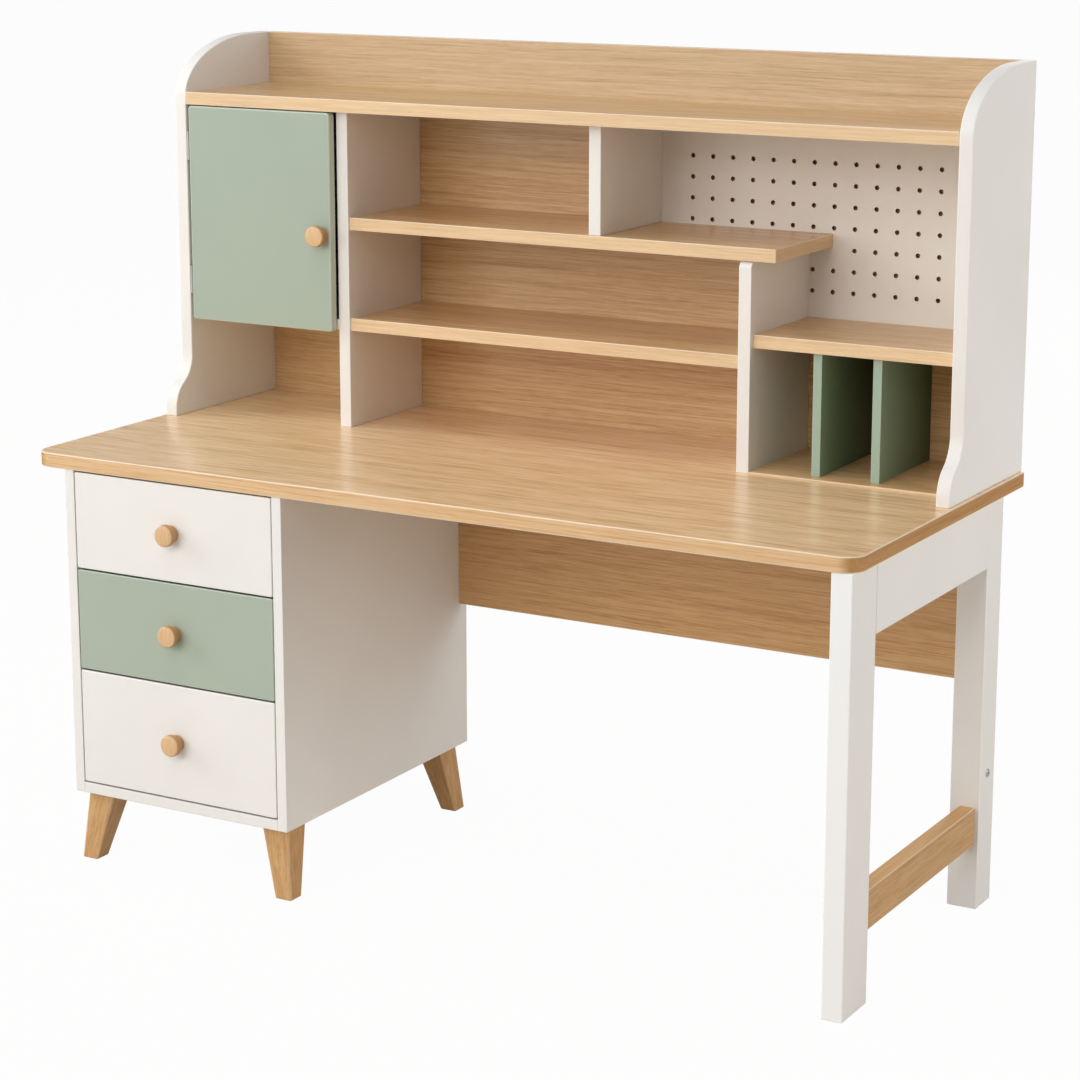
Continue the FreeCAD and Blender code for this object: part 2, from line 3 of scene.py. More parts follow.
import bpy
import numpy as np
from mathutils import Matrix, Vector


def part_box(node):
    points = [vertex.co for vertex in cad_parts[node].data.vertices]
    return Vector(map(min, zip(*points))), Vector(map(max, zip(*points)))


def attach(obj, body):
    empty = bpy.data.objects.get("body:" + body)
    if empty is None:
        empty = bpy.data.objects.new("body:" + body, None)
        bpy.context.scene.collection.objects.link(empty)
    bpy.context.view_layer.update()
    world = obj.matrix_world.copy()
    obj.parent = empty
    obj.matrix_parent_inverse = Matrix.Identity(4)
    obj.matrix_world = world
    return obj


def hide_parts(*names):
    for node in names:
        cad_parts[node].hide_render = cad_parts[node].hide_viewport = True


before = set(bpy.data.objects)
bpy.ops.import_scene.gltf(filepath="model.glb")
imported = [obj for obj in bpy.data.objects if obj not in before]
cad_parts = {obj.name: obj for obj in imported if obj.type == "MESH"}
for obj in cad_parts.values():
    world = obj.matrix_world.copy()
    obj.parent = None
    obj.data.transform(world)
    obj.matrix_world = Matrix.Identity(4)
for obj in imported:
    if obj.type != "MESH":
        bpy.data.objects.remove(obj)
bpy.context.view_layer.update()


# ---- Studio ----
# A pale seamless floor in a bright room, and six large soft lamps: two in front, one overhead, one at each
# side and one behind. The camera stands at eye height in front of the desk's right-hand end.
FLOOR_REACH, FLOOR_GLOW = 90.0, 0.97
FLOOR_DARK, FLOOR_LIGHT = (0.60, 0.55, 0.49, 1.0), (0.64, 0.59, 0.53, 1.0)
PLAIN_WHITE = (1.0, 1.0, 1.0, 1.0)
ROOM_COLOUR, ROOM_STRENGTH, BACKDROP_STRENGTH = (1.0, 0.985, 0.965, 1.0), 0.31, 0.98
LAMP_TARGET = (0.0, 0.0, 0.7)
CAMERA_PLACE = (2.3186, -3.9673, 1.6983)
CAMERA_TURN, CAMERA_PITCH = 29.85, 12.62
CAMERA_LENS, CAMERA_SENSOR, CAMERA_RISE, CAMERA_REACH = 95.17, 36.0, -0.05, 400.0


def add(tree, kind, feeds=None, **settings):
    """Adds one shader node. A feed is an input's plain value, or another node's output to join to it."""
    made = tree.nodes.new("ShaderNode" + kind)
    for name, value in settings.items():
        setattr(made, name, value)
    for name, value in (feeds or {}).items():
        if isinstance(value, bpy.types.NodeSocket):
            tree.links.new(value, made.inputs[name])
        else:
            made.inputs[name].default_value = value
    return made


def empty_material(name):
    """A material with nothing in it but its output node."""
    material = bpy.data.materials.new(name)
    material.use_nodes = True
    material.node_tree.nodes.clear()
    return material, material.node_tree, add(material.node_tree, "OutputMaterial")


def colour_between(tree, value, start, finish, first, second, most=1.0):
    """A colour that goes from first towards second as the value goes from start to finish.

    The share of the second colour grows evenly, from none to the most.
    """
    share = add(tree, "MapRange", {"Value": value, "From Min": start, "From Max": finish, "To Max": most})
    return add(tree, "Mix", {0: share.outputs["Result"], 6: first, 7: second}, data_type="RGBA").outputs[2]


floor_mesh = bpy.data.meshes.new("studio_floor")
floor_mesh.from_pydata([(-FLOOR_REACH, -FLOOR_REACH, 0), (FLOOR_REACH, -FLOOR_REACH, 0),
                        (FLOOR_REACH, FLOOR_REACH, 0), (-FLOOR_REACH, FLOOR_REACH, 0)], [], [(0, 1, 2, 3)])
studio_floor = bpy.data.objects.new("studio_floor", floor_mesh)
bpy.context.scene.collection.objects.link(studio_floor)

floor_paint, tree, output = empty_material("pale_floor_paint")
place = add(tree, "TexCoord").outputs["Object"]
cloud = add(tree, "TexNoise", {"Vector": place, "Scale": 0.8, "Detail": 2.0}).outputs["Fac"]
floor_colour = colour_between(tree, cloud, 0.0, 1.0, FLOOR_DARK, FLOOR_LIGHT)
matt = add(tree, "BsdfDiffuse", {"Color": floor_colour})
glow = add(tree, "Emission", {"Color": PLAIN_WHITE, "Strength": 1.0})
seen = add(tree, "LightPath").outputs["Is Camera Ray"]
glow_share = add(tree, "Math", {0: seen, 1: FLOOR_GLOW}, operation="MULTIPLY").outputs[0]
matt_or_glow = add(tree, "MixShader", {0: glow_share, 1: matt.outputs[0], 2: glow.outputs[0]})
tree.links.new(matt_or_glow.outputs[0], output.inputs["Surface"])
floor_mesh.materials.append(floor_paint)

world = bpy.data.worlds.new("bright_room")
bpy.context.scene.world = world
world.use_nodes = True
tree = world.node_tree
room = tree.nodes["Background"]
room.inputs["Color"].default_value = ROOM_COLOUR
room.inputs["Strength"].default_value = ROOM_STRENGTH
backdrop = add(tree, "Background", {"Color": PLAIN_WHITE, "Strength": BACKDROP_STRENGTH})
seen = add(tree, "LightPath").outputs["Is Camera Ray"]
room_or_backdrop = add(tree, "MixShader", {0: seen, 1: room.outputs[0], 2: backdrop.outputs[0]})
tree.links.new(room_or_backdrop.outputs[0], tree.nodes["World Output"].inputs["Surface"])


def softbox(name, place, size, watts, colour, target=LAMP_TARGET):
    """A rectangular lamp at a place, turned to face a target."""
    lamp = bpy.data.lights.new(name, "AREA")
    lamp.shape = "RECTANGLE"
    lamp.size, lamp.size_y = size
    lamp.energy, lamp.color = watts, colour
    made = bpy.data.objects.new(name, lamp)
    made.location = place
    aim = Vector(target) - Vector(place)
    made.rotation_euler = aim.to_track_quat("-Z", "Y").to_euler()
    made.visible_camera = False
    bpy.context.scene.collection.objects.link(made)


softbox("key_softbox", (-2.4, -6.0, 2.3), size=(4.0, 3.0), watts=112.0, colour=(1.0, 1.0, 1.0))
softbox("high_front_softbox", (0.5, -7.0, 5.0), size=(4.0, 4.0), watts=156.0, colour=(1.0, 0.99, 0.975))
softbox("overhead_softbox", (-0.4, -1.8, 6.5), size=(4.0, 4.0), watts=75.0, colour=(1.0, 0.985, 0.96))
softbox("left_softbox", (-5.0, -1.5, 3.0), size=(3.0, 3.0), watts=130.0, colour=(0.96, 0.99, 1.0))
softbox("right_softbox", (4.7, 1.0, 1.4), size=(2.4, 2.0), watts=76.0, colour=(1.0, 1.0, 0.99),
        target=(0.0, 0.0, 0.8))
softbox("rear_softbox", (-0.6, 6.5, 2.6), size=(4.0, 3.0), watts=90.0, colour=(1.0, 0.99, 0.97),
        target=(0.0, 0.3, 0.7))

camera = bpy.data.objects.new("camera", bpy.data.cameras.new("camera"))
camera.location = CAMERA_PLACE
camera.rotation_euler = (math.radians(90 - CAMERA_PITCH), 0.0, math.radians(CAMERA_TURN))
camera.data.sensor_width = CAMERA_SENSOR
camera.data.lens = CAMERA_LENS
camera.data.shift_y = CAMERA_RISE
camera.data.clip_end = CAMERA_REACH
bpy.context.scene.collection.objects.link(camera)
bpy.context.scene.camera = camera
bpy.context.scene.view_settings.view_transform = "Standard"


# ---- Desktop ----
# One board, 25 mm thick, faced and edged with straight-grained oak veneer under satin varnish. Its front
# corners are round, and both faces are rounded over all the way round. It is screwed down from the pedestal
# and the leg frame.
ALONG_X, ALONG_Y, ALONG_Z = 0, 1, 2
ARRIS_STEPS, CORNER_STEPS = 4, 6
ARRIS_ARC_RADIUS = 0.004
END_MARK_START, END_MARK_FULL = 0.70, 0.75


def arcs_outline(arcs, steps=CORNER_STEPS):
    """A closed outline from arcs in turn, joined by straight lines, with each point's outward direction.

    An arc is (centre across, centre up, radius across, radius up, first angle, last angle, side) in metres
    and degrees. A point stands at the centre plus the radii times the cosine and sine of an angle that runs
    evenly from the first to the last. Side is 1 where the arc bulges outwards and -1 where it is hollow. The
    third array is each point's arris mark, which carries painted highlight and shade onto small rounded
    corners: half a sine wave over a small arc, and nothing elsewhere.
    """
    columns = (np.array(column)[:, None] for column in zip(*arcs))
    centre_u, centre_v, radius_u, radius_v, first, last, side = columns
    share = np.linspace(0, 1, steps + 1)
    angle = np.radians(first + (last - first) * share)
    points = np.stack([centre_u + radius_u * np.cos(angle), centre_v + radius_v * np.sin(angle)], -1)
    outward = np.stack([radius_v * np.cos(angle), radius_u * np.sin(angle)], -1) * side[..., None]
    outward /= np.linalg.norm(outward, axis=-1, keepdims=True)
    small = np.maximum(radius_u, radius_v) < ARRIS_ARC_RADIUS
    corner_arris = np.where(small, np.sin(np.pi * share), 0.0)
    return points.reshape(-1, 2), outward.reshape(-1, 2), corner_arris.reshape(-1)


def make_piece(name, points, faces, normals, marks):
    """A smooth-shaded piece from arrays of points, faces and exact normals, and named marks on points."""
    mesh = bpy.data.meshes.new(name)
    mesh.from_pydata(points.tolist(), [], faces)
    mesh.polygons.foreach_set("use_smooth", np.ones(len(mesh.polygons), bool))
    for mark, values in marks.items():
        kind, slot = ("FLOAT", "value") if values.ndim == 1 else ("FLOAT_VECTOR", "vector")
        layer = mesh.attributes.new(mark, kind, "POINT")
        layer.data.foreach_set(slot, values.astype(np.float32).ravel())
    if normals is not None:
        mesh.normals_split_custom_set_from_vertices(normals.tolist())
    made = bpy.data.objects.new(name, mesh)
    bpy.context.scene.collection.objects.link(made)
    return made


def ring_faces(rings, count):
    """Four-sided faces between one closed ring of points and the next, and a many-sided face on each end."""
    here = np.arange(rings - 1)[:, None] * count + np.arange(count)
    onward = np.arange(rings - 1)[:, None] * count + (np.arange(count) + 1) % count
    walls = np.stack([here, onward, onward + count, here + count], -1).reshape(-1, 4).tolist()
    return walls + [list(range(count))[::-1], list(range((rings - 1) * count, rings * count))]


def plate(name, outline, low, high, arris, axis):
    """A flat board cut to an outline, with both faces rounded over.

    The outline is carried along the board's thickness, which runs along the given axis. The rounding is a
    quarter circle at each face: at angle a from the wall the outline is drawn in by arris times one less the
    cosine of a, and stands arris times the sine of a beyond the quarter circle's centre.

    Each point has four marks. The arris, which carries painted highlight and shade onto the arrises, is the
    sine of twice a, or the outline's own arris mark if that is more.
    The edge band is the squared cosine of a: 1 on the edge and 0 on a face. The edge depth is the band times
    the share of the thickness, and the board end is 1 where the board's edge looks along X.
    """
    points, outward, corner_arris = outline
    turn = np.linspace(0, math.pi / 2, ARRIS_STEPS + 1)
    angle = np.concatenate([-turn[::-1], turn])
    low_centre, high_centre = np.full(ARRIS_STEPS + 1, low + arris), np.full(ARRIS_STEPS + 1, high - arris)
    centre = np.concatenate([low_centre, high_centre])
    drawn_in = points - outward * (arris * (1 - np.cos(angle)))[:, None, None]
    across = np.broadcast_to((centre + arris * np.sin(angle))[:, None, None], drawn_in.shape[:2] + (1,))
    flat = outward * np.cos(angle)[:, None, None]
    rise = np.broadcast_to(np.sin(angle)[:, None, None], across.shape)
    position = np.roll(np.concatenate([drawn_in, across], -1), axis + 1, -1)
    normal = np.roll(np.concatenate([flat, rise], -1), axis + 1, -1)
    arris_mark = np.maximum(np.abs(np.sin(2 * angle))[:, None], corner_arris * np.cos(angle)[:, None] ** 2)
    band = np.broadcast_to(np.cos(angle)[:, None] ** 2, arris_mark.shape)
    end = np.clip((np.abs(normal[..., 0]) - END_MARK_START) / (END_MARK_FULL - END_MARK_START), 0, 1)
    depth = band * (across[..., 0] - low) / (high - low)
    faces = ring_faces(len(angle), len(points))
    marks = {"arris": arris_mark.ravel(), "edge_band": band.ravel(), "edge_depth": depth.ravel(),
             "board_end": end.ravel()}
    return make_piece(name, position.reshape(-1, 3), faces, normal.reshape(-1, 3), marks)


def finish_piece(piece, body, nodes, material):
    """Gives a piece its material and the body it moves with, and hides the CAD nodes it stands for."""
    piece.data.materials.append(material)
    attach(piece, body)
    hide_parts(*nodes)
    return piece


def rgb(red, green, blue):
    """A colour from screen values 0 to 255, as linear light with full opacity."""
    return tuple(float(c) for c in (np.array([red, green, blue]) / 255) ** 2.2) + (1.0,)


def new_group(name, inputs, outputs):
    """An empty shader node group with named inputs (kind and first value) and outputs (kind)."""
    group = bpy.data.node_groups.new(name, "ShaderNodeTree")
    for title, (kind, value) in inputs.items():
        socket = group.interface.new_socket(title, in_out="INPUT", socket_type="NodeSocket" + kind)
        socket.default_value = value
    for title, kind in outputs.items():
        group.interface.new_socket(title, in_out="OUTPUT", socket_type="NodeSocket" + kind)
    return group, group.nodes.new("NodeGroupInput").outputs, group.nodes.new("NodeGroupOutput").inputs


def math_node(tree, operation, first, second=0.0):
    """One sum on one or two values or outputs."""
    return add(tree, "Math", {0: first, 1: second}, operation=operation).outputs[0]


def stretched_noise(tree, place, length, width, detail, roughness):
    """A noise with cells of one length along X and one width across; either may be a number or an output."""
    size = add(tree, "CombineXYZ", {"X": length, "Y": width, "Z": width})
    cell = add(tree, "VectorMath", {0: place, 1: size.outputs[0]}, operation="DIVIDE")
    made = add(tree, "TexNoise", {"Vector": cell.outputs[0], "Scale": 1.0, "Detail": detail,
                                  "Roughness": roughness})
    return made.outputs["Fac"]


def swing(tree, noise, share):
    """How far a noise stands from its middle value, times a share."""
    return math_node(tree, "MULTIPLY", math_node(tree, "SUBTRACT", noise, 0.5), share)


# Straight oak grain: soft broad bands, streaks a few millimetres wide and a hand long, and fine dark pores.
# The tone is the sum of the three, each times its share. The grain sways a little from side to side.
SWAY = (0.0, 0.008, 0.008)
STREAK_SHARE, BROAD_SHARE, PORE_SHARE = 1.5, 0.6, 0.9
BROAD_TO_STREAK, PORE_LENGTH, PORE_WIDTH = 5.0, 0.030, 0.0010
DEEP_TONE, MIDDLE_TONE, PALE_TONE = 0.08, 0.5, 0.92
oak_grain, given, sent = new_group(
    "oak_grain",
    {"Place": ("Vector", (0.0, 0.0, 0.0)),
     "Streak Length": ("Float", 0.09), "Streak Width": ("Float", 0.0030), "Figure": ("Float", 1.0),
     "Deep": ("Color", (0.3, 0.2, 0.1, 1.0)), "Middle": ("Color", (0.5, 0.4, 0.2, 1.0)),
     "Pale": ("Color", (0.7, 0.6, 0.4, 1.0))},
    {"Color": "Color", "Height": "Float", "Roughness": "Float"})
sway = add(oak_grain, "TexNoise", {"Vector": given["Place"], "Scale": 2.3, "Detail": 2.0})
sway = add(oak_grain, "VectorMath", {0: sway.outputs["Color"], 1: (0.5, 0.5, 0.5)}, operation="SUBTRACT")
sway = add(oak_grain, "VectorMath", {0: sway.outputs[0], 1: SWAY}, operation="MULTIPLY")
swayed = add(oak_grain, "VectorMath", {0: given["Place"], 1: sway.outputs[0]}, operation="ADD").outputs[0]
broad_length = math_node(oak_grain, "MULTIPLY", given["Streak Length"], BROAD_TO_STREAK)
broad_width = math_node(oak_grain, "MULTIPLY", given["Streak Width"], BROAD_TO_STREAK)
streak = stretched_noise(oak_grain, swayed, given["Streak Length"], given["Streak Width"],
                         detail=3.0, roughness=0.6)
broad = stretched_noise(oak_grain, swayed, broad_length, broad_width, detail=2.0, roughness=0.5)
pore = stretched_noise(oak_grain, swayed, PORE_LENGTH, PORE_WIDTH, detail=2.0, roughness=0.6)
tone = swing(oak_grain, streak, STREAK_SHARE)
tone = math_node(oak_grain, "ADD", tone, swing(oak_grain, broad, BROAD_SHARE))
tone = math_node(oak_grain, "ADD", tone, swing(oak_grain, pore, PORE_SHARE))
tone = math_node(oak_grain, "MULTIPLY", tone, given["Figure"])
tone = math_node(oak_grain, "ADD", tone, MIDDLE_TONE)
dark_half = colour_between(oak_grain, tone, DEEP_TONE, MIDDLE_TONE, given["Deep"], given["Middle"])
whole = colour_between(oak_grain, tone, MIDDLE_TONE, PALE_TONE, dark_half, given["Pale"])
oak_grain.links.new(whole, sent["Color"])
oak_grain.links.new(pore, sent["Height"])
shine = add(oak_grain, "MapRange", {"Value": tone, "To Min": 0.40, "To Max": 0.30})
oak_grain.links.new(shine.outputs["Result"], sent["Roughness"])

# Painted highlight: the colour that the arrises of varnished wood go towards, in place of the light they
# catch.
ARRIS_HIGHLIGHT_COLOUR = (1.0, 0.93, 0.82, 1.0)
SANDED_ROUGHNESS = 0.25
# Painted shade: faces that look along X darken between these sideways shares of their normal.
END_SHADE_START, END_SHADE_FULL = 0.1, 0.6


def fade_along(tree, axis, start, finish, first, second, most=1.0):
    """A colour that goes from first towards second between two places along an axis of the desk."""
    along = add(tree, "SeparateXYZ", {"Vector": add(tree, "TexCoord").outputs["Object"]}).outputs[axis]
    return colour_between(tree, along, start, finish, first, second, most)


def grain_coordinates(tree, grain_turn, mark, edge_draw, band_on_ends):
    """Where a point lies in the grain.

    The grain runs along X unless it is turned, in degrees about X, Y and Z. A mark is the point mark that
    holds the grain's own coordinates on a piece that isn't straight. The edge draw packs the streaks closer
    through a level board's thickness. A band on a board's ends has its grain along the end.
    """
    if mark:
        place = add(tree, "Attribute", attribute_name=mark).outputs["Vector"]
    else:
        place = add(tree, "TexCoord").outputs["Object"]
    turn = [math.radians(angle) for angle in grain_turn]
    closer = (1.0, 1.0, edge_draw)
    place = add(tree, "Mapping", {"Vector": place, "Rotation": turn, "Scale": closer}).outputs[0]
    if band_on_ends:
        axes = add(tree, "SeparateXYZ", {"Vector": place}).outputs
        along_end = add(tree, "CombineXYZ", {"X": axes["Y"], "Y": axes["X"], "Z": axes["Z"]}).outputs[0]
        end = add(tree, "Attribute", attribute_name="board_end").outputs["Fac"]
        place = add(tree, "Mix", {0: end, 4: place, 5: along_end}, data_type="VECTOR").outputs[1]
    return place


def shade_ends(tree, face, tint):
    """A colour, times a tint of painted shade on the faces that look along X."""
    aside = add(tree, "SeparateXYZ", {"Vector": add(tree, "TexCoord").outputs["Normal"]}).outputs["X"]
    aside = math_node(tree, "ABSOLUTE", aside)
    share = add(tree, "MapRange", {"Value": aside, "From Min": END_SHADE_START, "From Max": END_SHADE_FULL})
    tinted = add(tree, "Mix", {0: share.outputs["Result"], 6: face, 7: tint}, data_type="RGBA",
                 blend_type="MULTIPLY")
    return tinted.outputs[2]


def varnished_wood(name, colours, streak_size, figure, grain_turn=(0, 0, 0), mark=None, arris_highlight_share=0.25,
                   coat=0.15, sanded_edges=True, band=None, band_on_ends=False, edge_draw=1.0, end_shade=None,
                   fade=None):
    """Varnished or oiled wood, in three colours (deep, middle, pale), with streaks of a length and a width.

    The arrises take a share of a painted highlight colour, in place of the light they catch. Sanded edges
    are less glossy than the faces, and a band, which is a colour and the share that they take of it, goes on
    them. A fade is an axis, a start, a finish, a colour, and the most of it to take. An end shade is a tint
    of painted shade on the faces that look along X.
    """
    material, tree, output = empty_material(name)
    deep, middle, pale = colours
    length, width = streak_size
    place = grain_coordinates(tree, grain_turn, mark, edge_draw, band_on_ends)
    grain = add(tree, "Group", {"Place": place, "Streak Length": length, "Streak Width": width,
                                "Figure": figure, "Deep": deep, "Middle": middle, "Pale": pale},
                node_tree=oak_grain)
    face, roughness, varnish = grain.outputs["Color"], grain.outputs["Roughness"], coat
    if fade:
        axis, start, finish, faded, most = fade
        face = fade_along(tree, axis, start, finish, face, faded, most)
    if sanded_edges:
        edge = add(tree, "Attribute", attribute_name="edge_band").outputs["Fac"]
        rougher = add(tree, "Math", {0: edge, 1: SANDED_ROUGHNESS, 2: roughness}, operation="MULTIPLY_ADD")
        roughness = rougher.outputs[0]
        varnish = add(tree, "MapRange", {"Value": edge, "To Min": coat, "To Max": 0.0}).outputs["Result"]
    if band:
        band_colour, band_share = band
        face = colour_between(tree, edge, 0.0, 1.0, face, band_colour, band_share)
    if end_shade:
        face = shade_ends(tree, face, end_shade)
    arris = add(tree, "Attribute", attribute_name="arris").outputs["Fac"]
    colour = colour_between(tree, arris, 0.0, 1.0, face, ARRIS_HIGHLIGHT_COLOUR, arris_highlight_share)
    pores = add(tree, "Bump", {"Height": grain.outputs["Height"], "Strength": 0.06, "Distance": 0.0004})
    shader = add(tree, "BsdfPrincipled", {"Base Color": colour, "Roughness": roughness,
                                          "Normal": pores.outputs[0], "Coat Weight": varnish,
                                          "Coat Roughness": 0.22})
    tree.links.new(shader.outputs[0], output.inputs["Surface"])
    return material


def four_corners(low_u, high_u, low_v, high_v, radii):
    """The outline of a rectangle with rounded corners: low-low, high-low, high-high and low-high in turn."""
    a, b, c, d = radii
    return arcs_outline([(low_u + a, low_v + a, a, a, 180.0, 270.0, 1),
                         (high_u - b, low_v + b, b, b, 270.0, 360.0, 1),
                         (high_u - c, high_v - c, c, c, 0.0, 90.0, 1),
                         (low_u + d, high_v - d, d, d, 90.0, 180.0, 1)])


DESKTOP_FRONT_CORNER, DESKTOP_REAR_CORNER, DESKTOP_ARRIS = 0.032, 0.008, 0.0024
# The desktop's ends take a tint of painted shade, darker than the front edge, and its arrises a painted
# highlight.
desktop_oak = varnished_wood(
    "oak_veneer_desktop", (rgb(210, 168, 120), rgb(243, 205, 157), rgb(253, 226, 187)),
    streak_size=(0.14, 0.0075), figure=1.15, arris_highlight_share=0.6, coat=0.4, band=(rgb(176, 126, 72), 0.35),
    band_on_ends=True, edge_draw=2.6, end_shade=rgb(210, 188, 150))
low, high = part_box("desktop")
desktop_outline = four_corners(low.x, high.x, low.y, high.y,
                               (DESKTOP_FRONT_CORNER, DESKTOP_FRONT_CORNER, DESKTOP_REAR_CORNER,
                                DESKTOP_REAR_CORNER))
desktop = plate("desktop_board", desktop_outline, low.z, high.z, DESKTOP_ARRIS, ALONG_Z)
finish_piece(desktop, "desk", ["desktop"], desktop_oak)


# ---- Drawer pedestal ----
# A white lacquered box of 18 mm boards that stands on four feet. Its sides run down past the bottom board.
# It is joined with dowels and cams from inside, so no fixing shows.
EASED_CORNER, EASED_ARRIS = 0.0015, 0.0012
# The second colour is a painted highlight, which the lacquer goes towards on its arrises.
WHITE, WHITE_ARRIS_HIGHLIGHT = rgb(240, 238, 235), rgb(252, 252, 250)
ARRIS_SHADING_SHARE = 0.625


def board(node, material, thickness_axis, body="desk", corner=EASED_CORNER, arris=EASED_ARRIS):
    """A rectangular board in its CAD node's place, its thickness along the given axis, every edge eased."""
    low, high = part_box(node)
    u, v = (thickness_axis + 1) % 3, (thickness_axis + 2) % 3
    piece = plate(node + "_board", four_corners(low[u], high[u], low[v], high[v], (corner,) * 4),
                  low[thickness_axis], high[thickness_axis], arris, thickness_axis)
    return finish_piece(piece, body, [node], material)


# Sprayed lacquer: a faint cloudiness in the colour, and the fine orange peel that a spray gun leaves.
lacquer_skin, given, sent = new_group(
    "lacquer_skin", {"Place": ("Vector", (0.0, 0.0, 0.0)), "Paint": ("Color", (0.8, 0.8, 0.8, 1.0))},
    {"Color": "Color", "Height": "Float", "Roughness": "Float"})
place = given["Place"]
peel = add(lacquer_skin, "TexNoise", {"Vector": place, "Scale": 420.0, "Detail": 2.0}).outputs["Fac"]
mottle = add(lacquer_skin, "TexNoise", {"Vector": place, "Scale": 5.0, "Detail": 3.0}).outputs["Fac"]
dimmer = add(lacquer_skin, "HueSaturation", {"Color": given["Paint"], "Value": 0.965}).outputs[0]
cloudy = colour_between(lacquer_skin, mottle, 0.3, 0.7, dimmer, given["Paint"])
dullness = add(lacquer_skin, "MapRange", {"Value": mottle, "To Min": 0.46, "To Max": 0.54})
lacquer_skin.links.new(cloudy, sent["Color"])
lacquer_skin.links.new(peel, sent["Height"])
lacquer_skin.links.new(dullness.outputs["Result"], sent["Roughness"])


def lacquer(name, paint, arris_shading_colour, edge_shading_paint=None, edge_shading_range=("edge_band", 0.3, 0.7), fade=None):
    """Matt sprayed lacquer, whose arrises go towards an arris colour: a lighter one as painted highlight, a
    darker one as painted shade.

    The board's edges may have a paint of their own, painted light on some boards and painted shade on
    others, that comes in over a range: a point mark, and the two values of it between which the paint
    changes. A fade is an axis, a start and a finish, and the paint that the first one fades to between them.
    """
    material, tree, output = empty_material(name)
    if fade:
        axis, start, finish, faded = fade
        paint = fade_along(tree, axis, start, finish, paint, faded)
    place = add(tree, "TexCoord").outputs["Object"]
    skin = add(tree, "Group", {"Place": place, "Paint": paint}, node_tree=lacquer_skin)
    colour = skin.outputs["Color"]
    if edge_shading_paint:
        mark, start, finish = edge_shading_range
        band = add(tree, "Attribute", attribute_name=mark).outputs["Fac"]
        colour = colour_between(tree, band, start, finish, colour, edge_shading_paint)
    arris = add(tree, "Attribute", attribute_name="arris").outputs["Fac"]
    # Painted light and shade on the arrises: the colour goes part of the way to the arris colour there.
    colour = colour_between(tree, arris, 0.0, 1.0, colour, arris_shading_colour, ARRIS_SHADING_SHARE)
    peel = add(tree, "Bump", {"Height": skin.outputs["Height"], "Strength": 0.05, "Distance": 0.0003})
    shader = add(tree, "BsdfPrincipled", {"Base Color": colour, "Roughness": skin.outputs["Roughness"],
                                          "Normal": peel.outputs[0]})
    tree.links.new(shader.outputs[0], output.inputs["Surface"])
    return material


def dress(node, material):
    """Gives a CAD node that stays in view its own material."""
    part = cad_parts[node]
    part.data.materials.clear()
    part.data.materials.append(material)


white_lacquer = lacquer("white_lacquer_sprayed", WHITE, WHITE_ARRIS_HIGHLIGHT)
board("pedestal_side_left", white_lacquer, ALONG_X)
board("pedestal_side_right", white_lacquer, ALONG_X)
board("pedestal_back", white_lacquer, ALONG_Y)
dress("pedestal_bottom", white_lacquer)
dress("pedestal_top_rails", white_lacquer)


# ---- Feet ----
# Four square beech feet that taper downwards and lean outwards both ways, each turned onto a hanger bolt.
# The arrises are rounded over, and the wood is oiled.
FOOT_TOP, FOOT_BOTTOM, FOOT_LEAN, FOOT_HEIGHT = 0.054, 0.032, 0.022, 0.122
FOOT_CORNER_TOP, FOOT_CORNER_BOTTOM, FOOT_RIM = 0.0055, 0.0040, 0.0018
FOOT_RINGS, FOOT_FIRST_RING = 12, 0.01
UPRIGHT_GRAIN = (0, 90, 0)
beech = varnished_wood(
    "oiled_beech_upright_grain", (rgb(168, 120, 72), rgb(203, 158, 106), rgb(220, 182, 133)),
    streak_size=(0.10, 0.0036), figure=0.75, grain_turn=UPRIGHT_GRAIN, mark="grain_place", arris_highlight_share=0.10,
    sanded_edges=False)


